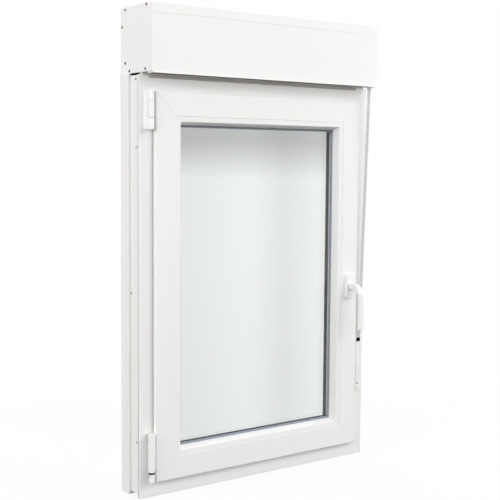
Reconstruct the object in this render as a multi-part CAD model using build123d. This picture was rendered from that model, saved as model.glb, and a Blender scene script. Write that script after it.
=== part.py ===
from build123d import *
import os

os.makedirs("parts", exist_ok=True)

# Driving sizes in millimetres. X runs right as seen from the room, the room is on -Y, Z is up.
# Profiles are drawn as (a, b): a is the distance inward from the outer edge of the frame,
# b is the distance outward from the room face of the frame.
frame_width = 800.0
frame_height = 1132.0
frame_depth = 58.0
lip_reach = 8.0
lip_depth = 8.0
frame_block = 50.0
stop_reach = 66.0
stop_front = 44.0
frame_edge_radius = 1.6
frame_inner_radius = 3.0
weld_groove = 1.0
lip_groove_front = 2.6
lip_groove_rear = 5.8
lip_groove_depth = 1.8

sash_start = 42.0
sash_proud = 18.0
sash_gap = 3.5
sash_body_start = 62.0
sash_face_end = 105.0
sash_rear = 40.0
sash_leg_end = 122.5
sash_leg_front = 36.0
sash_edge_radius = 3.5
sash_inner_radius = 1.0
sash_leg_radius = 2.0

bead_drop = 1.0
bead_nose = 119.5
bead_slope = 0.7
bead_nose_radius = 2.0
bead_edge_radius = 0.8
bead_rear = 5.5
bead_end = 127.5

glass_start = 109.0
glass_front = 8.0
glass_pane = 4.0
glass_cavity = 16.0
spacer_width = 11.0
spacer_inset = 3.0
gasket_start = 111.5
gasket_end = 133.5
outer_gasket_end = 130.0

sash_seal_start = 44.5
sash_seal_end = 49.0
stop_seal_start = 62.8
stop_seal_end = 65.2

box_inset = 7.5
box_lift = 6.0
box_height = 175.0
box_front = -55.0
box_rear = 107.5
box_wall = 8.0
end_plate = 4.0
band_height = 25.5
band_groove = 1.2
box_edge_radius = 2.0
cover_edge_radius = 1.0
end_edge_radius = 1.2
cover_drop = 4.0
cover_ridge = 2.0
cover_ridge_height = 4.0
base_lip_rear = 14.0
cover_return = 27.0
base_rear = 62.0
base_foot_front = 8.0
base_foot_rear = 52.0
base_foot_inset = 22.0
base_ledge_front = 0.5

guide_front = 55.0
guide_rear = 97.5
guide_width = 50.0
guide_slot_front = 69.0
guide_slot_rear = 85.0
guide_slot_floor = 16.0
guide_top_gap = 0.6
guide_edge_radius = 1.5

roll_centre_b = 20.0
roll_front_gap = 5.5
roll_end_gap = 16.0
axle_flats = 40.0
slat_thickness = 10.0
slat_end_gap = 4.0
slat_rise = 22.0
slat_height = 45.0

strap_inset = 22.0
strap_width = 14.0
strap_thickness = 1.4
strap_top_b = -37.5
strap_bottom_b = -7.4
outlet_width = 17.0
outlet_depth = 12.0
outlet_drop = 3.0
outlet_slot_width = 15.2
outlet_slot_depth = 5.0

winder_width = 18.0
winder_plate_depth = 6.0
winder_bottom = 199.0
winder_height = 190.0
winder_corner = 5.0
winder_ease = 1.5
winder_slot_width = 15.4
winder_slot_height = 13.0
winder_slot_below_top = 21.0
winder_case_width = 15.4
winder_case_depth = 34.0
winder_case_height = 138.0
winder_case_below_top = 18.0
winder_case_wall = 2.0

hinge_inset = 25.0
hinge_out = 22.0
upper_hinge_radius = 7.5
lower_hinge_radius = 9.2
bearing_radius = 8.8
hinge_plate = 3.0
hinge_web = 5.0
upper_lug_thickness = 3.0
lower_lug_thickness = 9.0
hinge_bevel = 0.6
knuckle_clearance = 0.4
bearing_web_start = 2.5
bearing_web_end = 9.0
upper_hinge_below_top = 37.5
upper_hinge_height = 104.5
upper_knuckle_rise = 29.7
upper_knuckle_height = 45.6
hinge_plate_reach = 11.0
knuckle_gap = 0.7
lower_bearing_bottom = 47.6
lower_bearing_height = 22.7
lower_hinge_gap = 5.0
lower_cover_height = 102.7
lower_plate_height = 100.0
hinge_pin_radius = 6.2
hinge_pin_depth = 12.0

handle_inset = 76.5
handle_z = 532.0
rose_width = 31.0
rose_height = 75.0
rose_depth = 11.0
rose_corner = 9.0
boss_radius = 9.9
boss_clearance = 0.1
boss_end_gap = 0.3
lever_reach = 62.0
lever_thickness = 11.0
lever_width = 20.0
lever_length = 129.0
lever_above = 10.0
neck_below = 8.0
neck_start = 13.0
lever_outer_bend = 36.0
lever_inner_bend = 21.0
lever_ease = 4.6

fixing_radius = 4.0
fixing_b = 27.0
fixing_low = 149.0
fixing_below_top = 189.0

# The origin lies on the underside of the lip, halfway through its depth.
shift = Pos(0, -lip_depth / 2, 0)


def polygon(plane, points):
    return plane * make_face(Polyline(*points, close=True))


def block(x_low, x_high, b_low, b_high, z_low, z_high):
    size = Box(x_high - x_low, b_high - b_low, z_high - z_low)
    return Pos((x_low + x_high) / 2, (b_low + b_high) / 2, (z_low + z_high) / 2) * size


def upright(x, b, radius, z_low, z_high):
    return Pos(x, b, (z_low + z_high) / 2) * Cylinder(radius, z_high - z_low)


def rounded_profile(profile):
    face = polygon(Plane.YZ, [(b, a) for a, b, radius in profile])
    for a, b, radius in profile:
        if radius > 0:
            corner = face.vertices().sort_by_distance((0, b, a))[0]
            face = fillet(corner, radius)
    return face


def mitred_bar(profile, length):
    bar = extrude(rounded_profile(profile), amount=length, dir=(1, 0, 0))
    deep = max(a for a, b, radius in profile) + 1
    near = min(b for a, b, radius in profile) - 1
    far = max(b for a, b, radius in profile) + 1
    corners = [(0, 0), (length, 0), (length - deep, deep), (deep, deep)]
    wedge = extrude(polygon(Plane.XZ, corners), amount=far - near, dir=(0, 1, 0))
    bar = bar & (Pos(0, near, 0) * wedge)
    weld = Rot(45, 0, 0) * Box(4 * deep, weld_groove, weld_groove)
    bar = bar - Pos(0, near + 1, 0) * Rot(0, -45, 0) * weld
    return bar - Pos(length, near + 1, 0) * Rot(0, 45, 0) * weld


def ring_of_bars(profile):
    wide = mitred_bar(profile, frame_width)
    tall = mitred_bar(profile, frame_height)
    half = frame_width / 2
    return {
        "bottom": Pos(-half, 0, 0) * wide,
        "right": Pos(half, 0, 0) * Rot(0, -90, 0) * tall,
        "top": Pos(half, 0, frame_height) * Rot(0, 180, 0) * wide,
        "left": Pos(-half, 0, frame_height) * Rot(0, 90, 0) * tall,
    }


def plain_ring(a_low, a_high, b_low, b_high):
    half = frame_width / 2
    outer = block(-half + a_low, half - a_low, b_low, b_high, a_low, frame_height - a_low)
    inner = block(-half + a_high, half - a_high, b_low - 1, b_high + 1, a_high, frame_height - a_high)
    return outer - inner


def sheet(a, b_low, b_high):
    half = frame_width / 2
    return block(-half + a, half - a, b_low, b_high, a, frame_height - a)


frame_profile = [
    (0, 0, frame_edge_radius),
    (frame_block, 0, frame_inner_radius),
    (frame_block, stop_front, 0),
    (stop_reach, stop_front, frame_edge_radius),
    (stop_reach, frame_depth, frame_edge_radius),
    (lip_reach, frame_depth, 0),
    (lip_reach, lip_depth, 0),
    (0, lip_depth, frame_edge_radius),
]
sash_profile = [
    (sash_start, -sash_proud, sash_edge_radius),
    (sash_face_end, -sash_proud, sash_inner_radius),
    (sash_face_end, sash_leg_front, 0),
    (sash_leg_end, sash_leg_front, sash_inner_radius),
    (sash_leg_end, sash_rear, sash_leg_radius),
    (sash_body_start, sash_rear, sash_inner_radius),
    (sash_body_start, -sash_gap, 0),
    (sash_start, -sash_gap, sash_inner_radius),
]
bead_front = -sash_proud + bead_drop
bead_profile = [
    (sash_face_end, bead_front, bead_edge_radius),
    (bead_nose, bead_front + bead_slope, bead_nose_radius),
    (bead_end, bead_rear, 0),
    (sash_face_end, bead_rear, 0),
]

frame_bars = ring_of_bars(frame_profile)
sash_bars = ring_of_bars(sash_profile)
bead_bars = ring_of_bars(bead_profile)

fixing_drill = None
for height in (fixing_low, frame_height - fixing_below_top):
    drill = Pos(0, fixing_b, height) * Rot(0, 90, 0) * Cylinder(fixing_radius, frame_width + 20)
    fixing_drill = drill if fixing_drill is None else fixing_drill + drill
core_half = frame_width / 2 - frame_block - 4
core = block(-core_half, core_half, -1, frame_depth + 1, 0, frame_height)
fixing_drill = fixing_drill - core

pieces = {}
pieces["frame_sill"] = frame_bars["bottom"]
pieces["frame_head"] = frame_bars["top"]
half = frame_width / 2
groove_inner = half - lip_groove_depth
left_groove = block(-half - 1, -groove_inner, lip_groove_front, lip_groove_rear, -1, frame_height + 1)
right_groove = block(groove_inner, half + 1, lip_groove_front, lip_groove_rear, -1, frame_height + 1)
pieces["frame_left_jamb"] = frame_bars["left"] - fixing_drill - left_groove
pieces["frame_right_jamb"] = frame_bars["right"] - fixing_drill - right_groove
pieces["sash_bottom_rail"] = sash_bars["bottom"]
pieces["sash_top_rail"] = sash_bars["top"]
pieces["sash_hinge_stile"] = sash_bars["left"]
pieces["sash_lock_stile"] = sash_bars["right"]
pieces["bead_bottom"] = bead_bars["bottom"]
pieces["bead_top"] = bead_bars["top"]
pieces["bead_left"] = bead_bars["left"]
pieces["bead_right"] = bead_bars["right"]

# Sealed glass unit and the rubber seals.
inside_back = glass_front + glass_pane
outside_front = inside_back + glass_cavity
outside_back = outside_front + glass_pane
pieces["pane_inside"] = sheet(glass_start, glass_front, inside_back)
pieces["pane_outside"] = sheet(glass_start, outside_front, outside_back)
spacer_start = glass_start + spacer_inset
pieces["pane_spacer"] = plain_ring(spacer_start, spacer_start + spacer_width, inside_back, outside_front)
pieces["gasket_inside"] = plain_ring(gasket_start, gasket_end, bead_rear, glass_front)
pieces["gasket_outside"] = plain_ring(gasket_start, outer_gasket_end, outside_back, sash_leg_front)
pieces["sash_seal"] = plain_ring(sash_seal_start, sash_seal_end, -sash_gap, 0)
pieces["stop_seal"] = plain_ring(stop_seal_start, stop_seal_end, sash_rear, stop_front)

# Shutter box.
box_half = frame_width / 2 - box_inset
panel_half = box_half - end_plate
box_bottom = frame_height + box_lift
box_top = box_bottom + box_height
cover_bottom = box_bottom - cover_drop
strap_x = frame_width / 2 - strap_inset
left_end = block(-box_half, -panel_half, box_front, box_rear, box_bottom, box_top)
left_end = fillet(left_end.faces().sort_by(Axis.X)[0].edges(), end_edge_radius)
pieces["box_left_end"] = left_end
pieces["box_right_end"] = mirror(left_end, about=Plane.YZ)
band_bottom = box_top - band_height
inner_front = box_front + box_wall
inner_rear = box_rear - box_wall
top_wall = block(-panel_half, panel_half, box_front, box_rear, box_top - box_wall, box_top)
top_band = block(-panel_half, panel_half, box_front, inner_front, band_bottom, box_top)
top_panel = top_wall + top_band
top_corner = (0, box_front, box_top)
top_panel = fillet(top_panel.edges().filter_by(Axis.X).sort_by_distance(top_corner)[0], box_edge_radius)
band_corner = (0, box_front, band_bottom)
top_panel = fillet(top_panel.edges().filter_by(Axis.X).sort_by_distance(band_corner)[0], cover_edge_radius)
pieces["box_top_panel"] = top_panel
cover_top = band_bottom - band_groove
cover_wall = block(-panel_half, panel_half, box_front, inner_front, cover_bottom, cover_top)
cover_foot = block(-panel_half, panel_half, box_front, box_front + cover_return, cover_bottom, box_bottom)
outlet_hole = block(
    strap_x - outlet_width / 2,
    strap_x + outlet_width / 2,
    strap_top_b - outlet_depth / 2,
    strap_top_b + outlet_depth / 2,
    cover_bottom - 5,
    box_bottom + box_wall + 5,
)
front_cover = cover_wall + cover_foot
upper_edge = front_cover.edges().filter_by(Axis.X).sort_by_distance((0, box_front, cover_top))[0]
front_cover = fillet(upper_edge, cover_edge_radius)
ridge_side = [
    (box_front + 1, cover_bottom),
    (box_front - cover_ridge, cover_bottom),
    (box_front - cover_ridge, cover_bottom + cover_ridge_height / 2),
    (box_front + 1, cover_bottom + cover_ridge_height),
]
ridge = extrude(polygon(Plane.YZ, ridge_side), amount=panel_half * 2, dir=(1, 0, 0))
pieces["box_front_cover"] = front_cover + Pos(-panel_half, 0, 0) * ridge - outlet_hole
base_wall = block(-panel_half, panel_half, inner_front, base_rear, box_bottom, box_bottom + box_wall)
foot_half = panel_half - base_foot_inset
foot_low = frame_height - lip_reach
base_foot = block(-foot_half, foot_half, base_foot_front, base_foot_rear, foot_low, box_bottom)
base_ledge = block(-foot_half, foot_half, base_ledge_front, base_foot_rear, frame_height, box_bottom)
base_lip = block(-panel_half, panel_half, 0, base_lip_rear, frame_height, box_bottom)
pieces["box_base_panel"] = base_wall + base_foot + base_ledge + base_lip - outlet_hole
pieces["box_rear_panel"] = block(
    -panel_half, panel_half, inner_rear, box_rear, box_bottom, box_top - box_wall
)

# Guide rails behind the jambs, with the slot the curtain runs in.
guide_outline = [
    (-half, guide_front),
    (-half + lip_reach, guide_front),
    (-half + lip_reach, frame_depth),
    (-half + guide_width, frame_depth),
    (-half + guide_width, guide_slot_front),
    (-half + guide_slot_floor, guide_slot_front),
    (-half + guide_slot_floor, guide_slot_rear),
    (-half + guide_width, guide_slot_rear),
    (-half + guide_width, guide_rear),
    (-half, guide_rear),
]
guide_length = box_bottom - guide_top_gap
guide = extrude(polygon(Plane.XY, guide_outline), amount=guide_length, dir=(0, 0, 1))
for guide_edge in ((-half, guide_front), (-half, guide_rear), (-half + guide_width, guide_rear)):
    nearest = guide.edges().filter_by(Axis.Z).sort_by_distance(guide_edge + (guide_length / 2,))[0]
    guide = fillet(nearest, guide_edge_radius)
pieces["guide_left"] = guide
pieces["guide_right"] = mirror(guide, about=Plane.YZ)

# Rolled curtain on its shaft, and the end slat in the mouth of the guides.
across = Rot(0, 90, 0)
roll_centre_z = box_bottom + box_height / 2
roll_radius = roll_centre_b - inner_front - roll_front_gap
slat_rear = roll_centre_b + roll_radius
slat_front = slat_rear - slat_thickness
roll_half = panel_half - roll_end_gap
slat_half = half - guide_slot_floor - slat_end_gap
slat_top = box_bottom + slat_rise
slat_bottom = slat_top - slat_height
axle = Pos(0, roll_centre_b, roll_centre_z) * across * extrude(
    RegularPolygon(axle_flats / 2, 8, major_radius=False), amount=panel_half, both=True
)
roll = Pos(0, roll_centre_b, roll_centre_z) * across * Cylinder(roll_radius, roll_half * 2)
tail = block(-roll_half, roll_half, slat_front, slat_rear, slat_top, roll_centre_z)
pieces["shutter_axle"] = axle
pieces["shutter_roll"] = roll + tail - axle
pieces["shutter_end_slat"] = block(-slat_half, slat_half, slat_front, slat_rear, slat_bottom, slat_top)

# Strap, its outlet under the box, and the winder on the right jamb.
outlet_body = block(
    strap_x - outlet_width / 2,
    strap_x + outlet_width / 2,
    strap_top_b - outlet_depth / 2,
    strap_top_b + outlet_depth / 2,
    cover_bottom - outlet_drop,
    box_bottom + box_wall,
)
outlet_slot = block(
    strap_x - outlet_slot_width / 2,
    strap_x + outlet_slot_width / 2,
    strap_top_b - outlet_slot_depth / 2,
    strap_top_b + outlet_slot_depth / 2,
    cover_bottom - outlet_drop - 1,
    box_bottom + box_wall + 1,
)
pieces["strap_outlet"] = outlet_body - outlet_slot
winder_top = winder_bottom + winder_height
slot_top = winder_top - winder_slot_below_top
slot_bottom = slot_top - winder_slot_height
strap_low = slot_bottom
strap_high = box_bottom + box_wall
thin = strap_thickness / 2
strap_side = [
    (strap_bottom_b - thin, slot_top - strap_thickness),
    (-winder_plate_depth / 6, slot_top - winder_slot_height / 2),
    (-winder_plate_depth / 6, slot_top - winder_slot_height / 2 + strap_thickness),
    (strap_bottom_b + thin, slot_top),
    (strap_top_b + thin, strap_high),
    (strap_top_b - thin, strap_high),
]
strap = extrude(polygon(Plane.YZ, strap_side), amount=strap_width, dir=(1, 0, 0))
pieces["strap"] = Pos(strap_x - strap_width / 2, 0, 0) * strap
winder_left = strap_x - winder_width / 2
winder_right = strap_x + winder_width / 2
plate = block(winder_left, winder_right, -winder_plate_depth, 0, winder_bottom, winder_top)
plate = fillet(plate.edges().filter_by(Axis.Y), winder_corner)
plate = fillet(plate.faces().sort_by(Axis.Y)[0].edges(), winder_ease)
slot_left = strap_x - winder_slot_width / 2
slot_right = strap_x + winder_slot_width / 2
plate = plate - block(slot_left, slot_right, -winder_plate_depth - 1, 1, slot_bottom, slot_top)
pieces["winder_plate"] = plate
case_top = winder_top - winder_case_below_top
case_bottom = case_top - winder_case_height
case_left = strap_x - winder_case_width / 2
case_right = strap_x + winder_case_width / 2
pocket = block(case_left, case_right, 0, winder_case_depth, case_bottom, case_top)
inside = block(
    case_left + winder_case_wall,
    case_right - winder_case_wall,
    -1,
    winder_case_depth - winder_case_wall,
    case_bottom + winder_case_wall,
    case_top - winder_case_wall,
)
pieces["winder_case"] = pocket - inside
pieces["frame_right_jamb"] = pieces["frame_right_jamb"] - pocket

# Hinges on the left.
sash_edge = -half + sash_start
hinge_x = -half + hinge_inset
hinge_b = -hinge_out
plate_left = hinge_x - hinge_plate_reach
lug_rear = -sash_gap - 1
upper_hinge_top = frame_height - upper_hinge_below_top
upper_hinge_bottom = upper_hinge_top - upper_hinge_height
knuckle_bottom = upper_hinge_bottom + upper_knuckle_rise
knuckle_top = knuckle_bottom + upper_knuckle_height


def frame_leaf(radius, z_low, z_high):
    barrel = upright(hinge_x, hinge_b, radius, z_low, z_high)
    outline = [
        (hinge_x, 0),
        (plate_left, 0),
        (plate_left, -hinge_web),
        (hinge_x - radius * 0.95, hinge_b + radius * 0.3),
        (hinge_x, hinge_b),
    ]
    web = extrude(polygon(Plane.XY, outline), amount=z_high - z_low, dir=(0, 0, 1))
    leaf = barrel + Pos(0, 0, z_low) * web
    rims = leaf.edges().group_by(Axis.Z)[0] + leaf.edges().group_by(Axis.Z)[-1]
    return chamfer(rims, hinge_bevel)


def sash_leaf(radius, lug_thickness, z_low, z_high):
    barrel = upright(hinge_x, hinge_b, radius, z_low, z_high)
    barrel = chamfer(barrel.edges().filter_by(GeomType.CIRCLE), hinge_bevel)
    outline = [
        (hinge_x, hinge_b),
        (hinge_x + radius * 0.9, hinge_b),
        (sash_edge, lug_rear - lug_thickness),
        (sash_edge, lug_rear),
        (hinge_x, lug_rear),
    ]
    if lug_thickness < radius:
        outline[1] = (hinge_x + lug_thickness, hinge_b)
        outline.insert(2, (hinge_x + lug_thickness, lug_rear - lug_thickness))
    lug = extrude(polygon(Plane.XY, outline), amount=z_high - z_low, dir=(0, 0, 1))
    return barrel + Pos(0, 0, z_low) * lug


upper_leaf = frame_leaf(upper_hinge_radius, upper_hinge_bottom, upper_hinge_top)
knuckle_hole = upright(
    hinge_x, hinge_b, upper_hinge_radius + knuckle_clearance, knuckle_bottom, knuckle_top
)
lug_room = block(
    hinge_x - knuckle_clearance,
    hinge_x + upper_hinge_radius,
    hinge_b,
    -hinge_plate,
    knuckle_bottom,
    knuckle_top,
)
pieces["hinge_upper_frame"] = upper_leaf - knuckle_hole - lug_room
pieces["hinge_upper_sash"] = sash_leaf(
    upper_hinge_radius, upper_lug_thickness, knuckle_bottom + knuckle_gap, knuckle_top - knuckle_gap
)
bearing_top = lower_bearing_bottom + lower_bearing_height
lower_cover_bottom = bearing_top + lower_hinge_gap
lower_cover_top = lower_cover_bottom + lower_cover_height
lower_plate_top = lower_bearing_bottom + lower_plate_height
web_left = hinge_x + bearing_web_start
web_right = hinge_x + bearing_web_end
bearing_plate = block(web_left, web_right, -hinge_plate, 0, lower_bearing_bottom, lower_plate_top)
bearing_web = block(web_left, web_right, hinge_b, 0, lower_bearing_bottom, bearing_top)
bearing = upright(hinge_x, hinge_b, bearing_radius, lower_bearing_bottom, bearing_top)
bearing = chamfer(bearing.edges().filter_by(GeomType.CIRCLE), hinge_bevel)
pin_low = bearing_top - hinge_pin_depth
pin_high = lower_cover_bottom + hinge_pin_depth
pin = upright(hinge_x, hinge_b, hinge_pin_radius, pin_low, pin_high)
pieces["hinge_lower_frame"] = bearing + bearing_web + bearing_plate - pin
lower_cover = sash_leaf(lower_hinge_radius, lower_lug_thickness, lower_cover_bottom, lower_cover_top)
pieces["hinge_lower_sash"] = lower_cover - pin
pieces["hinge_lower_pin"] = pin

# Handle: a rose on the lock stile and a lever that turns in it.
sash_front = -sash_proud
handle_x = half - handle_inset
rose = block(
    handle_x - rose_width / 2,
    handle_x + rose_width / 2,
    sash_front - rose_depth,
    sash_front,
    handle_z - rose_height / 2,
    handle_z + rose_height / 2,
)
rose = fillet(rose.edges().filter_by(Axis.Y), rose_corner)
rose = fillet(rose.faces().sort_by(Axis.Y)[0].edges(), 2.5)
handle_axis = Pos(handle_x, 0, handle_z) * Rot(90, 0, 0)
bore = handle_axis * Pos(0, 0, -sash_front + rose_depth / 2) * Cylinder(
    boss_radius + boss_clearance, rose_depth + 2
)
pieces["handle_rose"] = rose - bore
inner_face = lever_reach - lever_thickness
lever_wire = [
    (neck_start, -neck_below),
    (neck_start, lever_above),
    (lever_reach, lever_above),
    (lever_reach, -lever_length),
    (inner_face, -lever_length),
    (inner_face, -neck_below),
]
lever_face = polygon(Plane.YZ, [(sash_front - out, handle_z + up) for out, up in lever_wire])
lever = extrude(lever_face, amount=lever_width, dir=(1, 0, 0))
lever = Pos(handle_x - lever_width / 2, 0, 0) * lever
outer_corner = (handle_x, sash_front - lever_reach, handle_z + lever_above)
inner_corner = (handle_x, sash_front - inner_face, handle_z - neck_below)
lever = fillet(lever.edges().filter_by(Axis.X).sort_by_distance(outer_corner)[0], lever_outer_bend)
lever = fillet(lever.edges().filter_by(Axis.X).sort_by_distance(inner_corner)[0], lever_inner_bend)
tip_edges = lever.edges().filter_by(Axis.X).sort_by(Axis.Z)[0:2]
lever = fillet(tip_edges, lever_thickness * 0.45)
flanks = lever.faces().sort_by(Axis.X)
lever = fillet(flanks[0].edges() + flanks[-1].edges(), lever_ease)
boss_length = neck_start + 1 - boss_end_gap
boss = handle_axis * Pos(0, 0, -sash_front + boss_end_gap + boss_length / 2) * Cylinder(
    boss_radius, boss_length
)
pieces["handle_lever"] = lever + boss

for name, solid in pieces.items():
    export_step(shift * solid, "parts/" + name + ".step")
    print(name, len(solid.solids()), round(solid.volume / 1000, 1))
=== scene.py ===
import math

import bpy
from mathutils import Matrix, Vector


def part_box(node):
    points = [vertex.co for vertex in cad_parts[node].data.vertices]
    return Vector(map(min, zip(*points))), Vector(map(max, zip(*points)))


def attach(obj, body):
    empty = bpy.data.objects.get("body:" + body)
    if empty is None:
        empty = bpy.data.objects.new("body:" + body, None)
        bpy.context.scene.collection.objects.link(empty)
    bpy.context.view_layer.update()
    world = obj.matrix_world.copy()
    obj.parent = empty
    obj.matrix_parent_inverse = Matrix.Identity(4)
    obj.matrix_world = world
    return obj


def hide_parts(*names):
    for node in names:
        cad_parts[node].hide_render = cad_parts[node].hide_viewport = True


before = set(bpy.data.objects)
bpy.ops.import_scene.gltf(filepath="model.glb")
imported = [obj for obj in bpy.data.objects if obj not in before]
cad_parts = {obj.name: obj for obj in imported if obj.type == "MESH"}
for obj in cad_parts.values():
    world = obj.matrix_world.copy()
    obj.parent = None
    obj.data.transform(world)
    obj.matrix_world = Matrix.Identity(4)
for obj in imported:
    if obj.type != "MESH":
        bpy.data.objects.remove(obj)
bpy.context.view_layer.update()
scene = bpy.context.scene
scene.view_settings.view_transform = "Standard"
print("window: frame loaded")

photoView = {
    "place": (-1.7646, -2.3540, 0.9055),
    "turn": (85.140, -0.418, -36.292),  # degrees
    "lens": 74.06,
    "sensor": 36,
}
cameraData = bpy.data.cameras.new("photoCamera")
cameraData.sensor_width = photoView["sensor"]
cameraData.lens = photoView["lens"]
camera = bpy.data.objects.new("photoCamera", cameraData)
camera.location = photoView["place"]
camera.rotation_euler = [math.radians(angle) for angle in photoView["turn"]]
scene.collection.objects.link(camera)
scene.camera = camera
print("window: camera set")


# shared surface effects, each built once
def newEffect(name, inputs, outputs):
    effect = bpy.data.node_groups.new(name, "ShaderNodeTree")
    for label, kind, value in inputs:
        socket = effect.interface.new_socket(name=label, in_out="INPUT", socket_type=kind)
        if value is not None:
            socket.default_value = value
    for label, kind in outputs:
        effect.interface.new_socket(name=label, in_out="OUTPUT", socket_type=kind)
    start = effect.nodes.new("NodeGroupInput")
    end = effect.nodes.new("NodeGroupOutput")
    return effect, start, end


def mixColours(tree, factor, first, second):
    mix = tree.nodes.new("ShaderNodeMix")
    mix.data_type = "RGBA"
    tree.links.new(factor, mix.inputs[0])
    tree.links.new(first, mix.inputs[6])
    tree.links.new(second, mix.inputs[7])
    return mix.outputs[2]


def mapValue(tree, value, *bounds):
    ranged = tree.nodes.new("ShaderNodeMapRange")
    tree.links.new(value, ranged.inputs["Value"])
    for label, bound in zip(("From Min", "From Max", "To Min", "To Max"), bounds):
        if isinstance(bound, (int, float)):
            ranged.inputs[label].default_value = bound
        else:
            tree.links.new(bound, ranged.inputs[label])
    return ranged.outputs["Result"]


def mathNode(tree, kind, first, second=0.0):
    node = tree.nodes.new("ShaderNodeMath")
    node.operation = kind
    for socket, value in zip(node.inputs, (first, second)):
        if isinstance(value, (int, float)):
            socket.default_value = value
        else:
            tree.links.new(value, socket)
    return node.outputs[0]


def addCloud(effect, start, detail):
    cloud = effect.nodes.new("ShaderNodeTexNoise")
    cloud.inputs["Detail"].default_value = detail
    effect.links.new(start.outputs["Vector"], cloud.inputs["Vector"])
    effect.links.new(start.outputs["Scale"], cloud.inputs["Scale"])
    return cloud.outputs["Fac"]


cloudLook = {"toneDetail": 4, "glossDetail": 5, "reliefDetail": 3, "span": (0.3, 0.7)}

toneDrift, start, end = newEffect(
    "toneDrift",
    [
        ("Vector", "NodeSocketVector", None),
        ("Light", "NodeSocketColor", (0.8, 0.8, 0.8, 1)),
        ("Dark", "NodeSocketColor", (0.7, 0.7, 0.7, 1)),
        ("Scale", "NodeSocketFloat", 6.0),
    ],
    [("Colour", "NodeSocketColor")],
)
cloud = addCloud(toneDrift, start, cloudLook["toneDetail"])
share = mapValue(toneDrift, cloud, *cloudLook["span"], 0.0, 1.0)
tone = mixColours(toneDrift, share, start.outputs["Dark"], start.outputs["Light"])
toneDrift.links.new(tone, end.inputs["Colour"])

glossDrift, start, end = newEffect(
    "glossDrift",
    [
        ("Vector", "NodeSocketVector", None),
        ("Scale", "NodeSocketFloat", 30.0),
        ("Low", "NodeSocketFloat", 0.3),
        ("High", "NodeSocketFloat", 0.4),
    ],
    [("Roughness", "NodeSocketFloat")],
)
cloud = addCloud(glossDrift, start, cloudLook["glossDetail"])
limits = (start.outputs["Low"], start.outputs["High"])
gloss = mapValue(glossDrift, cloud, *cloudLook["span"], *limits)
glossDrift.links.new(gloss, end.inputs["Roughness"])

fineRelief, start, end = newEffect(
    "fineRelief",
    [("Vector", "NodeSocketVector", None), ("Scale", "NodeSocketFloat", 1.0)],
    [("Height", "NodeSocketFloat")],
)
cloud = addCloud(fineRelief, start, cloudLook["reliefDetail"])
fineRelief.links.new(cloud, end.inputs["Height"])

# plain weave: warp threads along Z, weft across X, in thread counts per metre
strapMiddle = 0.378  # x
selvedgeReach = (0.0040, 0.0052)  # from the strap's middle: where it begins, and is full
strapWeave, start, end = newEffect(
    "strapWeave",
    [
        ("Vector", "NodeSocketVector", None),
        ("Across", "NodeSocketFloat", 700.0),
        ("Along", "NodeSocketFloat", 500.0),
    ],
    [("Thread", "NodeSocketFloat"), ("Edge", "NodeSocketFloat")],
)
parts = strapWeave.nodes.new("ShaderNodeSeparateXYZ")
strapWeave.links.new(start.outputs["Vector"], parts.inputs[0])
waves = []
for axis, count in (("X", "Across"), ("Z", "Along")):
    turns = mathNode(strapWeave, "MULTIPLY", parts.outputs[axis], start.outputs[count])
    waves.append(mathNode(strapWeave, "SINE", mathNode(strapWeave, "MULTIPLY", turns, math.pi)))
crossing = mathNode(strapWeave, "MULTIPLY", *waves)
thread = mapValue(strapWeave, crossing, -1.0, 1.0, 0.0, 1.0)
strapWeave.links.new(thread, end.inputs["Thread"])
offMiddle = mathNode(strapWeave, "SUBTRACT", parts.outputs["X"], strapMiddle)
fromMiddle = mathNode(strapWeave, "ABSOLUTE", offMiddle)
edge = mapValue(strapWeave, fromMiddle, *selvedgeReach, 0.0, 1.0)
strapWeave.links.new(edge, end.inputs["Edge"])
print("window: surface effects ready")


# finishes
def newFinish(name):
    finish = bpy.data.materials.new(name)
    finish.use_nodes = True
    tree = finish.node_tree
    shader = tree.nodes["Principled BSDF"]
    where = tree.nodes.new("ShaderNodeTexCoord").outputs["Object"]
    return finish, tree, shader, where


def useEffect(tree, effect, **values):
    node = tree.nodes.new("ShaderNodeGroup")
    node.node_tree = effect
    for label, value in values.items():
        socket = node.inputs[label]
        if hasattr(value, "is_output"):
            tree.links.new(value, socket)
        else:
            socket.default_value = value
    return node


def driftColour(tree, where, light, dark, scale):
    drift = useEffect(tree, toneDrift, Vector=where, Light=light, Dark=dark, Scale=scale)
    return drift.outputs["Colour"]


def driftGloss(tree, where, scale, limits):
    drift = useEffect(tree, glossDrift, Vector=where, Scale=scale, Low=limits[0], High=limits[1])
    return drift.outputs["Roughness"]


def stretch(tree, where, scale):
    mapping = tree.nodes.new("ShaderNodeMapping")
    mapping.inputs["Scale"].default_value = scale
    tree.links.new(where, mapping.inputs["Vector"])
    return mapping.outputs["Vector"]


def addBump(tree, shader, height, strength, distance):
    bump = tree.nodes.new("ShaderNodeBump")
    bump.inputs["Strength"].default_value = strength
    bump.inputs["Distance"].default_value = distance
    tree.links.new(height, bump.inputs["Height"])
    tree.links.new(bump.outputs["Normal"], shader.inputs["Normal"])


plainLook = {"ior": 1.5, "metallic": 0.0}  # where a look gives no others


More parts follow.
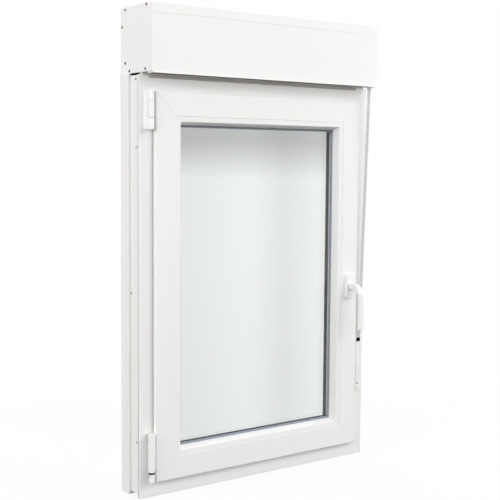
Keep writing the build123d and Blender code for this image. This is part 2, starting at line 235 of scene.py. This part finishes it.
def paintedFinish(name, look):
    look = dict(plainLook, **look)
    finish, tree, shader, where = newFinish(name)
    colour = driftColour(tree, where, look["light"], look["dark"], look["toneScale"])
    # painted shade: a look's shade darkens the colour above a height
    if "shade" in look:  # darker above a height
        low, high, light, dark = look["shade"]
        split = tree.nodes.new("ShaderNodeSeparateXYZ")
        tree.links.new(where, split.inputs[0])
        above = mapValue(tree, split.outputs["Z"], low, high, 0.0, 1.0)
        deep = driftColour(tree, where, light, dark, look["toneScale"])
        colour = mixColours(tree, above, colour, deep)
    tree.links.new(colour, shader.inputs["Base Color"])
    roughness = driftGloss(tree, where, look["glossScale"], look["gloss"])
    tree.links.new(roughness, shader.inputs["Roughness"])
    grain = useEffect(tree, fineRelief, Vector=stretch(tree, where, look["grain"]))
    addBump(tree, shader, grain.outputs["Height"], *look["bump"])
    shader.inputs["IOR"].default_value = look["ior"]
    shader.inputs["Metallic"].default_value = look["metallic"]
    return finish


pvcLook = {
    "light": (0.89, 0.885, 0.872, 1),
    "dark": (0.875, 0.87, 0.857, 1),
    "toneScale": 5.0,
    "glossScale": 12.0,
    "gloss": (0.30, 0.34),
    "bump": (0.02, 0.00005),  # strength, distance
}
alongX, alongZ = (6, 900, 900), (900, 900, 6)  # grain of a drawn profile
# painted shade: the box's base panel gets a darker PVC than the rest, so its underside reads as
# lying in shadow
baseShadeLook = dict(pvcLook, light=(0.64, 0.625, 0.60, 1), dark=(0.60, 0.585, 0.56, 1))
whiteLook = dict(pvcLook, light=(0.89, 0.887, 0.88, 1), dark=(0.875, 0.872, 0.865, 1))
pvcUpright = paintedFinish("pvcUpright", dict(pvcLook, grain=alongZ))
pvcLevel = paintedFinish("pvcLevel", dict(pvcLook, grain=alongX))
pvcBaseShade = paintedFinish("pvcBaseShade", dict(baseShadeLook, grain=alongX))
pvcMoulded = paintedFinish("pvcMoulded", dict(pvcLook, grain=(450, 450, 450)))
fittingWhite = paintedFinish(
    "fittingWhite", dict(whiteLook, gloss=(0.24, 0.30), grain=(500, 500, 500))
)
handleWhite = paintedFinish(
    "handleWhite", dict(whiteLook, gloss=(0.2, 0.26), grain=(380, 380, 380))
)

rubberLook = {
    "toneScale": 60.0,
    "glossScale": 90.0,
    "grain": (1200, 1200, 1200),
    "bump": (0.2, 0.0002),
}
rubberDark = paintedFinish(
    "rubberDark",
    dict(
        rubberLook,
        light=(0.045, 0.05, 0.056, 1),
        dark=(0.025, 0.028, 0.032, 1),
        gloss=(0.55, 0.75),
        bump=(0.25, 0.0002),
    ),
)
# painted shade on the gasket: its upper run is coloured darker in place of the shade its bead
# casts
gasketShade = (  # the upper run lies in the shade of its bead
    0.99,
    1.012,
    (0.035, 0.038, 0.05, 1),
    (0.025, 0.027, 0.036, 1),
)
gasketGrey = paintedFinish(
    "gasketGrey",
    dict(
        rubberLook,
        light=(0.29, 0.325, 0.385, 1),
        dark=(0.23, 0.26, 0.31, 1),
        gloss=(0.45, 0.6),
        shade=gasketShade,
    ),
)
lipStripGrey = paintedFinish(
    "lipStripGrey",
    dict(
        rubberLook,
        light=(0.36, 0.35, 0.34, 1),
        dark=(0.29, 0.285, 0.28, 1),
        gloss=(0.5, 0.65),
    ),
)
# black for the winder's inlet, and painted shade on the lower hinge pin, its washer and the
# channel blocks
inletBlackAndShade = paintedFinish(
    "inletBlackAndShade",
    {
        "light": (0.012, 0.012, 0.013, 1),
        "dark": (0.006, 0.006, 0.007, 1),
        "toneScale": 80.0,
        "glossScale": 120.0,
        "gloss": (0.4, 0.55),
        "grain": (900, 900, 900),
        "bump": (0.2, 0.0002),
        "ior": 1.15,
    },
)

# painted shade: the look of the two dark strips that stand in for shade under the box
shadeStripLook = {
    "toneScale": 160.0,
    "glossScale": 200.0,
    "gloss": (0.7, 0.85),
    "grain": (1500, 1500, 1500),
    "bump": (0.4, 0.0003),
    "ior": 1.3,
}
# painted shade: the dark strip behind the cover's lip
foamBrown = paintedFinish(
    "foamBrown",
    dict(shadeStripLook, light=(0.105, 0.095, 0.085, 1), dark=(0.070, 0.062, 0.055, 1)),
)
# painted shade: the paler strip, on the frame head below the box
foamPale = paintedFinish(
    "foamPale",
    dict(shadeStripLook, light=(0.50, 0.47, 0.43, 1), dark=(0.42, 0.39, 0.35, 1)),
)

slatGrey = paintedFinish(
    "slatGrey",
    {
        "light": (0.78, 0.785, 0.78, 1),
        "dark": (0.74, 0.745, 0.74, 1),
        "toneScale": 12.0,
        "glossScale": 50.0,
        "gloss": (0.35, 0.45),
        "grain": (8, 700, 700),
        "bump": (0.15, 0.0002),
    },
)
spacerMetal = paintedFinish(
    "spacerMetal",
    {
        "light": (0.84, 0.85, 0.85, 1),
        "dark": (0.76, 0.77, 0.775, 1),
        "toneScale": 120.0,
        "glossScale": 150.0,
        "gloss": (0.34, 0.44),
        "grain": (600, 600, 600),
        "bump": (0.2, 0.0003),
        "metallic": 0.35,
    },
)
steelZinc = paintedFinish(
    "steelZinc",
    {
        "light": (0.60, 0.61, 0.62, 1),
        "dark": (0.44, 0.45, 0.46, 1),
        "toneScale": 70.0,
        "glossScale": 110.0,
        "gloss": (0.32, 0.5),
        "grain": (400, 400, 400),
        "bump": (0.15, 0.0003),
        "metallic": 1.0,
    },
)

screwLook = {
    "toneScale": 400.0,
    "glossScale": 500.0,
    "grain": (2000, 2000, 2000),
    "bump": (0.2, 0.0001),
}
screwBrown = paintedFinish(
    "screwBrown",
    dict(
        screwLook,
        light=(0.26, 0.135, 0.085, 1),
        dark=(0.13, 0.065, 0.04, 1),
        gloss=(0.35, 0.55),
        metallic=0.6,
    ),
)
screwDark = paintedFinish(
    "screwDark",
    dict(
        screwLook,
        light=(0.035, 0.033, 0.032, 1),
        dark=(0.015, 0.014, 0.014, 1),
        gloss=(0.45, 0.6),
    ),
)

glassLook = {
    "light": (0.918, 0.933, 0.928, 1),
    "dark": (0.910, 0.926, 0.921, 1),
    "toneScale": 1.2,
    "roughness": 0.0,
    "ior": 1.5,
    "clearness": 1.0,
}
clearGlass, tree, shader, where = newFinish("clearGlass")
tint = driftColour(tree, where, glassLook["light"], glassLook["dark"], glassLook["toneScale"])
tree.links.new(tint, shader.inputs["Base Color"])
shader.inputs["Roughness"].default_value = glassLook["roughness"]
shader.inputs["IOR"].default_value = glassLook["ior"]
shader.inputs["Transmission Weight"].default_value = glassLook["clearness"]

webbingLook = {
    "across": 900.0,  # threads per metre
    "along": 620.0,
    "light": (0.735, 0.74, 0.745, 1),
    "worn": (0.655, 0.655, 0.65, 1),
    # painted shade: the low cells between threads are coloured darker than the threads
    "gap": (0.47, 0.475, 0.48, 1),
    "gapShadeWorn": (0.41, 0.41, 0.405, 1),
    "toneScale": 80.0,
    "selvedge": (0.80, 0.805, 0.81, 1),
    "selvedgeScale": 300.0,
    "glossScale": 300.0,
    "gloss": (0.7, 0.85),
    "bump": (0.6, 0.0004),
    "sheen": 0.15,
}
webbingGrey, tree, shader, where = newFinish("webbingGrey")
weave = useEffect(
    tree, strapWeave, Vector=where, Across=webbingLook["across"], Along=webbingLook["along"]
)
threadTone, gapShadeTone, edgeTone = (
    driftColour(tree, where, webbingLook[light], webbingLook[dark], webbingLook[scale])
    for light, dark, scale in (
        ("light", "worn", "toneScale"),
        ("gap", "gapShadeWorn", "toneScale"),
        ("selvedge", "light", "selvedgeScale"),
    )
)
cloth = mixColours(tree, weave.outputs["Thread"], gapShadeTone, threadTone)
cloth = mixColours(tree, weave.outputs["Edge"], cloth, edgeTone)
tree.links.new(cloth, shader.inputs["Base Color"])
roughness = driftGloss(tree, where, webbingLook["glossScale"], webbingLook["gloss"])
tree.links.new(roughness, shader.inputs["Roughness"])
addBump(tree, shader, weave.outputs["Thread"], *webbingLook["bump"])
shader.inputs["Sheen Weight"].default_value = webbingLook["sheen"]
print("window: finishes ready")


def dress(finish, *names):
    for name in names:
        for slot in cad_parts[name].material_slots:
            slot.material = finish


dress(pvcLevel, "frame_sill", "frame_head", "sash_bottom_rail", "sash_top_rail")
dress(pvcLevel, "bead_bottom", "bead_top")
dress(pvcLevel, "box_top_panel", "box_front_cover", "box_rear_panel")
dress(pvcUpright, "frame_left_jamb", "frame_right_jamb", "sash_hinge_stile", "sash_lock_stile")
dress(pvcUpright, "bead_left", "bead_right", "guide_left", "guide_right")
dress(pvcBaseShade, "box_base_panel")
dress(pvcMoulded, "box_left_end", "box_right_end", "strap_outlet", "winder_case")
dress(clearGlass, "pane_inside", "pane_outside")
for name in ("pane_inside", "pane_outside"):
    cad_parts[name].visible_shadow = False  # lamp light passes the glass
dress(spacerMetal, "pane_spacer")
dress(gasketGrey, "gasket_inside")
dress(rubberDark, "gasket_outside", "sash_seal", "stop_seal")
dress(slatGrey, "shutter_roll", "shutter_end_slat")
dress(steelZinc, "shutter_axle")
# painted shade: the steel pin is dressed black so the hinge gap reads dark
dress(inletBlackAndShade, "hinge_lower_pin")
dress(fittingWhite, "winder_plate", "hinge_upper_frame", "hinge_upper_sash")
dress(fittingWhite, "hinge_lower_frame", "hinge_lower_sash")
dress(handleWhite, "handle_rose", "handle_lever")
print("window: parts dressed")


# modelling helpers
facing = 0.9  # cosine from which a face counts as turned to a side
smoothAngle = 40  # degrees


def clearPick():
    if bpy.context.object and bpy.context.object.mode != "OBJECT":
        bpy.ops.object.mode_set(mode="OBJECT")
    bpy.ops.object.select_all(action="DESELECT")


def pickOnly(piece):
    clearPick()
    piece.select_set(True)
    bpy.context.view_layer.objects.active = piece


def pickFaces(piece, wanted):
    bpy.ops.object.mode_set(mode="EDIT")
    bpy.ops.mesh.select_mode(type="FACE")
    bpy.ops.mesh.select_all(action="DESELECT")
    bpy.ops.object.mode_set(mode="OBJECT")
    for face in piece.data.polygons:
        face.select = wanted(face.normal)
    bpy.ops.object.mode_set(mode="EDIT")


def addBlock(middle, size, roll=0):
    clearPick()
    bpy.ops.mesh.primitive_cube_add(size=1, location=middle)
    block = bpy.context.object
    block.scale = size
    block.rotation_euler = (0, 0, math.radians(roll))
    bpy.ops.object.transform_apply(location=True, rotation=True, scale=True)
    return block


def addDisc(middle, radius, depth, sides):
    clearPick()
    bpy.ops.mesh.primitive_cylinder_add(
        vertices=sides, radius=radius, depth=depth, location=middle
    )
    return bpy.context.object


def useModifier(piece, kind, **values):
    modifier = piece.modifiers.new(kind.lower(), kind)
    for label, value in values.items():
        setattr(modifier, label, value)
    pickOnly(piece)
    bpy.ops.object.modifier_apply(modifier=modifier.name)


def cutAway(piece, cutter):
    useModifier(piece, "BOOLEAN", object=cutter, operation="DIFFERENCE", solver="EXACT")
    bpy.data.objects.remove(cutter)


def easeEdges(piece, width, segments):
    useModifier(piece, "BEVEL", width=width, segments=segments, limit_method="ANGLE")


def finishPiece(piece, name, finish, body):
    pickOnly(piece)
    bpy.ops.object.transform_apply(location=True, rotation=True, scale=True)
    bpy.ops.object.shade_smooth_by_angle(angle=math.radians(smoothAngle))
    piece.name = name
    piece.data.name = name
    piece.data.materials.clear()
    piece.data.materials.append(finish)
    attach(piece, body)


# pan-head screw, head up on Z, modelled once
screwSize = {
    "radius": 0.0036,
    "height": 0.0009,
    "dome": 0.0006,
    "steps": [(0.22, 0.6), (0.35, 0.4)],  # the dome, in shares of radius and dome
    "sides": 32,
    "recess": 0.0042,
    "recessWidth": 0.0009,
    "recessDepth": 0.0010,
}
screwHead = addDisc(
    (0, 0, screwSize["height"] / 2), screwSize["radius"], screwSize["height"], screwSize["sides"]
)
bpy.ops.object.transform_apply(location=True)
pickFaces(screwHead, lambda normal: normal.z > facing)
for inward, upward in screwSize["steps"]:
    bpy.ops.mesh.inset(thickness=screwSize["radius"] * inward, depth=screwSize["dome"] * upward)
bpy.ops.object.mode_set(mode="OBJECT")
screwTop = screwSize["height"] + screwSize["dome"]
bladeSize = (screwSize["recess"], screwSize["recessWidth"], screwSize["recessDepth"] * 2)
for roll in (0, 90):
    cutAway(screwHead, addBlock((0, 0, screwTop), bladeSize, roll))


def placeScrew(name, place, turn, finish, scale=1.0):
    pickOnly(screwHead)
    bpy.ops.object.duplicate(linked=False)
    copy = bpy.context.object
    copy.location = place
    copy.rotation_mode = "ZYX"  # rolls about its own axis first
    copy.rotation_euler = [math.radians(angle) for angle in turn]
    copy.scale = (scale, scale, scale)
    finishPiece(copy, name, finish, "window")


def faceLeft(roll):
    return (0, -90, roll)


def faceRight(roll):
    return (0, 90, roll)


def faceRoom(roll):
    return (90, 0, roll)


endScrews = {
    "places": [  # (y, z) on each end plate
        (0.0782, 1.3063),
        (-0.0319, 1.3091),
        (0.0952, 1.2626),
        (0.0785, 1.1661),
        (0.0572, 1.1442),
        (-0.0254, 1.1454),
    ],
    "leftRoll": 17,  # degrees from each screw to the next
    "rightRoll": 23,
}
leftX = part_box("box_left_end")[0][0]
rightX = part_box("box_right_end")[1][0]
for number, (y, z) in enumerate(endScrews["places"], 1):
    leftTurn = faceLeft(endScrews["leftRoll"] * number)
    rightTurn = faceRight(endScrews["rightRoll"] * number)
    placeScrew(f"end_screw_left_{number}", (leftX, y, z), leftTurn, screwBrown)
    placeScrew(f"end_screw_right_{number}", (rightX, y, z), rightTurn, screwBrown)

winderScrews = {
    "sunk": 0.0004,
    "rows": [  # name, x from the plate's middle, z from its foot, roll, finish, scale
        ("winder_screw", -0.0015, 0.025, 0, screwDark, 0.75),
        ("winder_lower_screw", -0.0025, 0.009, 45, screwBrown, 0.5),
    ],
}
plateLow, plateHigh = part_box("winder_plate")
plateMiddle = (plateLow[0] + plateHigh[0]) / 2
for name, x, z, roll, finish, scale in winderScrews["rows"]:
    place = (plateMiddle + x, plateLow[1] + winderScrews["sunk"], plateLow[2] + z)
    placeScrew(name, place, faceRoom(roll), finish, scale)

sideScrews = {
    "scale": 0.75,
    "roll": 31,
    "proud": 0.00003,  # of the outline; the rest of the head is sunk in the guide
    "recessX": -0.392,  # outer face of the jamb behind its lip
    "guide": (0.0853, 1.1275),  # (y, z)
    "jamb": [(0.0241, 1.1223), (0.0504, 0.5531)],
}
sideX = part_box("guide_left")[0][0] + screwTop * sideScrews["scale"] - sideScrews["proud"]
sidePlaces = [(sideX, *sideScrews["guide"])]
sidePlaces += [(sideScrews["recessX"], *place) for place in sideScrews["jamb"]]
for number, (x, y, z) in enumerate(sidePlaces, 1):
    roll = sideScrews["roll"] * number
    for name, place, turn in (
        (f"side_screw_left_{number}", (x, y, z), faceLeft(roll)),
        (f"side_screw_right_{number}", (-x, y, z), faceRight(roll)),
    ):
        placeScrew(name, place, turn, screwDark, sideScrews["scale"])

bearingScrew = {"sunk": 0.0003, "y": -0.0255, "drop": 0.0832, "roll": -28, "scale": 0.7}
bearingLow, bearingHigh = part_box("hinge_lower_frame")
bearingX = bearingLow[0] + bearingScrew["sunk"]
bearingZ = bearingHigh[2] - bearingScrew["drop"]
placeScrew(
    "bearing_screw",
    (bearingX, bearingScrew["y"], bearingZ),
    faceLeft(bearingScrew["roll"]),
    screwDark,
    bearingScrew["scale"],
)
bpy.data.objects.remove(screwHead)
print("window: screws placed")


# strap: flat webbing from inside the box to the winder slot
strapSize = {
    "width": 0.014,
    "thickness": 0.0013,
    "ease": 0.0004,
    "runs": [(-0.0415, 1.146), (-0.0114, 0.3674), (-0.0053, 0.3668)],  # (y, z) at mid-thickness
    "cuts": 3,
    "weld": 0.00001,
}
clearPick()
topY, topZ = strapSize["runs"][0]
bpy.ops.mesh.primitive_plane_add(size=1, location=(strapMiddle, topY, topZ))
webbing = bpy.context.object
bpy.ops.object.mode_set(mode="EDIT")
bpy.ops.mesh.select_all(action="SELECT")
bpy.ops.transform.resize(value=(strapSize["width"], 0.0, 1.0))  # flattened to its top edge
bpy.ops.mesh.remove_doubles(threshold=strapSize["weld"])
bpy.ops.object.mode_set(mode="OBJECT")
bpy.ops.object.transform_apply(location=True)
bpy.ops.object.mode_set(mode="EDIT")
bpy.ops.mesh.select_mode(type="EDGE")
bpy.ops.mesh.select_all(action="SELECT")
for (y0, z0), (y1, z1) in zip(strapSize["runs"], strapSize["runs"][1:]):
    bpy.ops.mesh.extrude_region_move(TRANSFORM_OT_translate={"value": (0, y1 - y0, z1 - z0)})
bpy.ops.mesh.select_all(action="SELECT")
bpy.ops.mesh.subdivide(number_cuts=strapSize["cuts"])
bpy.ops.mesh.normals_make_consistent(inside=False)
bpy.ops.object.mode_set(mode="OBJECT")
useModifier(webbing, "SOLIDIFY", thickness=strapSize["thickness"], offset=0.0)
easeEdges(webbing, strapSize["ease"], 3)
finishPiece(webbing, "strap_webbing", webbingGrey, "window")
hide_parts("strap")
print("window: strap woven")


# black washer round the lower hinge's pin, in the gap between bearing and cover, as painted
# shade that keeps the gap dark
washerSize = {
    "outer": 0.0087,
    "inner": 0.0063,
    "clearance": 0.0002,
    "gap": 0.0050,
    "ease": 0.0004,
    "sides": 64,
}
pinLow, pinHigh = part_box("hinge_lower_pin")
pinX, pinY = (pinLow[0] + pinHigh[0]) / 2, (pinLow[1] + pinHigh[1]) / 2
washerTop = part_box("hinge_lower_sash")[0][2] - washerSize["clearance"]
washerHeight = washerSize["gap"] - 2 * washerSize["clearance"]
washerPlace = (pinX, pinY, washerTop - washerHeight / 2)
washer = addDisc(washerPlace, washerSize["outer"], washerHeight, washerSize["sides"])
washerHole = addDisc(washerPlace, washerSize["inner"], washerHeight * 2, washerSize["sides"])
cutAway(washer, washerHole)
easeEdges(washer, washerSize["ease"], 2)
finishPiece(washer, "hinge_washer", inletBlackAndShade, "window")
print("window: washer fitted")


# dark liner in the winder's slot
inletSize = {
    "width": 0.0150,
    "height": 0.0126,
    "rim": 0.0011,
    "depth": 0.0050,
    "middleZ": 0.3615,
    "proud": 0.0001,
    "wall": 0.0005,
    "ease": 0.00015,
}
clearPick()
inletPlace = (plateMiddle, plateLow[1] - inletSize["proud"], inletSize["middleZ"])
bpy.ops.mesh.primitive_plane_add(size=1, location=inletPlace, rotation=(math.radians(90), 0, 0))
liner = bpy.context.object
liner.scale = (inletSize["width"], inletSize["height"], 1)
bpy.ops.object.transform_apply(location=True, rotation=True, scale=True)
bpy.ops.object.mode_set(mode="EDIT")
bpy.ops.mesh.select_all(action="SELECT")
bpy.ops.mesh.inset(thickness=inletSize["rim"])
bpy.ops.mesh.extrude_region_move(TRANSFORM_OT_translate={"value": (0, inletSize["depth"], 0)})
bpy.ops.object.mode_set(mode="OBJECT")
useModifier(liner, "SOLIDIFY", thickness=inletSize["wall"], offset=-1.0)
easeEdges(liner, inletSize["ease"], 2)
finishPiece(liner, "winder_inlet", inletBlackAndShade, "window")
print("window: winder inlet lined")


# the channel between frame head and box: a white packer at each end, topped by a black block as
# painted shade for the dark gap there
channelLook = {"outerX": 0.3915, "ease": 0.0008, "dent": 0.0012, "dentDepth": 0.4}
channelBlocks = [  # name, length, (y, y), (z, z), finish, slot
    # painted shade: a black block standing in for the deep shade in the channel's open end
    ("foam_block", 0.0210, (0.0105, 0.0495), (1.1322, 1.1378), inletBlackAndShade, "dark_rubber"),
    ("head_packer", 0.0215, (0.0045, 0.0535), (1.1241, 1.1322), pvcMoulded, "white_pvc"),
]
for side, sideName in ((-1, "left"), (1, "right")):
    for name, length, (y0, y1), (z0, z1), finish, slot in channelBlocks:
        middleX = side * (channelLook["outerX"] - length / 2)
        middle = (middleX, (y0 + y1) / 2, (z0 + z1) / 2)
        packer = addBlock(middle, (length, y1 - y0, z1 - z0))
        pickFaces(packer, lambda normal: abs(normal.x) > facing)
        bpy.ops.mesh.inset(
            thickness=channelLook["dent"], depth=-channelLook["dent"] * channelLook["dentDepth"]
        )
        bpy.ops.object.mode_set(mode="OBJECT")
        easeEdges(packer, channelLook["ease"], 3)
        finishPiece(packer, f"{name}_{sideName}", finish, "window")
print("window: channel closed")


# strips: painted shade under the box and under its cover's lip, a grey strip in each jamb's lip,
# a white tongue above the cover
lipReach = ((-0.0010, 0.0014), (0.0030, 1.1290))  # (y, y), (z, z) in both jambs
stripRows = [  # name, (x, x), (y, y), (z, z), rounding, finish, slot
    # painted shade: a pale brown strip in the corner under the box, standing in for the box's
    # shadow on the frame head
    (
        "head_seal",
        (-0.370, 0.356),
        (-0.0064, -0.0041),
        (1.1252, 1.1336),
        0.0006,
        foamPale,
        "dark_rubber",
    ),
    # a grey strip in each jamb's lip, which darkens the line along the lip
    ("lip_seal_left", (-0.3993, -0.3981), *lipReach, 0.0003, lipStripGrey, "dark_rubber"),
    ("lip_seal_right", (0.3981, 0.3993), *lipReach, 0.0003, lipStripGrey, "dark_rubber"),
    # painted shade: a dark strip behind the cover's lip, standing in for the shade on the
    # cover's underside
    (
        "cover_seal",
        (-0.3880, 0.3600),
        (-0.0560, -0.0440),
        (1.1331, 1.1339),
        0.0002,
        foamBrown,
        "dark_rubber",
    ),
    (
        "cover_tongue",
        (-0.3883, 0.3883),
        (-0.0586, -0.0515),
        (1.28635, 1.28745),
        0.0002,
        pvcLevel,
        "white_pvc",
    ),
]
for name, (x0, x1), (y0, y1), (z0, z1), rounding, finish, slot in stripRows:
    middle = ((x0 + x1) / 2, (y0 + y1) / 2, (z0 + z1) / 2)
    strip = addBlock(middle, (x1 - x0, y1 - y0, z1 - z0))
    easeEdges(strip, rounding, 3)
    finishPiece(strip, name, finish, "window")
print("window: seals laid")


# studio: pale floor, white world, soft lamps
def mixShaders(tree, factor, first, second):
    mix = tree.nodes.new("ShaderNodeMixShader")
    for socket, source in zip(mix.inputs, (factor, first, second)):
        tree.links.new(source, socket)
    return mix.outputs[0]


pureWhite = (1, 1, 1, 1)
floorLook = {
    "size": 16.0,
    "drop": 0.0006,  # below the sill
    "tone": (0.06, 0.06, 0.06, 1),  # for the light that it bounces
    "paper": (0.95, 0.95, 0.95, 1),  # for the shadow that the camera sees
    "shadow": (0.5, 1.8, 0.15, 0.0),  # fades out between two distances, from and to a share
}
clearPick()
bpy.ops.mesh.primitive_plane_add(size=floorLook["size"], location=(0, 0, -floorLook["drop"]))
floor = bpy.context.object
floor.name = "floor"
floorFinish, tree, bounce, where = newFinish("floorFinish")
bounce.inputs["Base Color"].default_value = floorLook["tone"]
bounce.inputs["Roughness"].default_value = 1.0
bounce.inputs["Specular IOR Level"].default_value = 0.0
paper = tree.nodes.new("ShaderNodeBsdfDiffuse")
paper.inputs["Color"].default_value = floorLook["paper"]
glow = tree.nodes.new("ShaderNodeEmission")
glow.inputs["Color"].default_value = pureWhite
clear = tree.nodes.new("ShaderNodeBsdfTransparent")
reach = tree.nodes.new("ShaderNodeVectorMath")
reach.operation = "LENGTH"
tree.links.new(where, reach.inputs[0])
shadow = mapValue(tree, reach.outputs["Value"], *floorLook["shadow"])
shown = mixShaders(tree, shadow, glow.outputs[0], paper.outputs[0])
rays = tree.nodes.new("ShaderNodeLightPath")
through = mathNode(
    tree, "MAXIMUM", rays.outputs["Is Glossy Ray"], rays.outputs["Is Transmission Ray"]
)
lit = mixShaders(tree, rays.outputs["Is Camera Ray"], bounce.outputs[0], shown)
cover = mixShaders(tree, through, lit, clear.outputs[0])  # glass and metal see the backdrop
tree.links.new(cover, tree.nodes["Material Output"].inputs["Surface"])
floor.data.materials.append(floorFinish)

worldLook = {  # each row maps a height or bearing, from and to, to a strength, from and to
    "ambient": (0.25, 0.85, 0.98, 0.50),  # light from the horizon, and from overhead
    "rise": (-0.016, 0.021, 1.03, 0.63),  # the backdrop in and through the glass, paler low down
    "low": (-0.26, -0.08, 0.945, 1.0),
    "foldAt": 0.79,
    "fold": (0.0, 0.05, 0.88, 1.0),  # a soft fold in the backdrop
    "fall": (0.63, 0.72, 0.90, 1.0),
}
world = bpy.data.worlds.new("studioWorld")
scene.world = world
world.use_nodes = True
tree = world.node_tree
parts = tree.nodes.new("ShaderNodeSeparateXYZ")
tree.links.new(tree.nodes.new("ShaderNodeTexCoord").outputs["Generated"], parts.inputs[0])
height = parts.outputs["Z"]
bearing = mathNode(tree, "DIVIDE", parts.outputs["X"], parts.outputs["Y"])
ambient = tree.nodes["Background"]
ambient.inputs["Color"].default_value = pureWhite
tree.links.new(mapValue(tree, height, *worldLook["ambient"]), ambient.inputs["Strength"])
white = tree.nodes.new("ShaderNodeBackground")
white.inputs["Color"].default_value = pureWhite
white.inputs["Strength"].default_value = 1.0
backdrop = tree.nodes.new("ShaderNodeBackground")
backdrop.inputs["Color"].default_value = pureWhite
rise = mapValue(tree, height, *worldLook["rise"])
low = mapValue(tree, height, *worldLook["low"])
offFold = mathNode(tree, "ABSOLUTE", mathNode(tree, "SUBTRACT", bearing, worldLook["foldAt"]))
fold = mapValue(tree, offFold, *worldLook["fold"])
fall = mapValue(tree, bearing, *worldLook["fall"])
level = mathNode(tree, "MULTIPLY", rise, low)
sides = mathNode(tree, "MULTIPLY", fold, fall)
strength = mathNode(tree, "MULTIPLY", level, sides)
tree.links.new(strength, backdrop.inputs["Strength"])
rays = tree.nodes.new("ShaderNodeLightPath")
through = mathNode(
    tree, "MAXIMUM", rays.outputs["Is Transmission Ray"], rays.outputs["Is Glossy Ray"]
)
roomSky = mixShaders(tree, through, ambient.outputs[0], backdrop.outputs[0])
sky = mixShaders(tree, rays.outputs["Is Camera Ray"], roomSky, white.outputs[0])
tree.links.new(sky, tree.nodes["World Output"].inputs["Surface"])

lamps = [  # name, place, aim, (width, height), power, mirrored in glass and gloss
    ("keyLamp", (3.9, -6.2, 5.6), (0, 0, 0.65), (2.4, 2.4), 172.0, True),
    ("frontLamp", (1.1, -6.9, 0.70), (0, 0, 0.6), (4.4, 1.2), 72.0, False),
    ("rightLamp", (5.9, -2.6, 1.4), (0, 0, 0.6), (3.0, 2.4), 104.0, True),
    ("sideLamp", (-6.3, -1.2, 2.1), (0, 0, 0.6), (4.2, 2.4), 186.0, True),
    ("fillLamp", (-2.6, -3.6, 1.3), (0, 0, 0.6), (1.6, 1.2), 7.0, True),
    ("backLamp", (2.5, 6.8, 1.9), (0, 0, 0.6), (4.0, 3.0), 160.0, True),
]
for name, place, aim, size, power, mirrored in lamps:
    lampData = bpy.data.lights.new(name, "AREA")
    lampData.shape = "RECTANGLE"
    lampData.size, lampData.size_y = size
    lampData.energy = power
    lamp = bpy.data.objects.new(name, lampData)
    lamp.location = place
    lamp.visible_transmission = False  # not seen through the glass
    lamp.visible_glossy = mirrored
    lamp.rotation_euler = (Vector(aim) - Vector(place)).to_track_quat("-Z", "Y").to_euler()
    scene.collection.objects.link(lamp)
print("window: studio lit")

print("window: done")
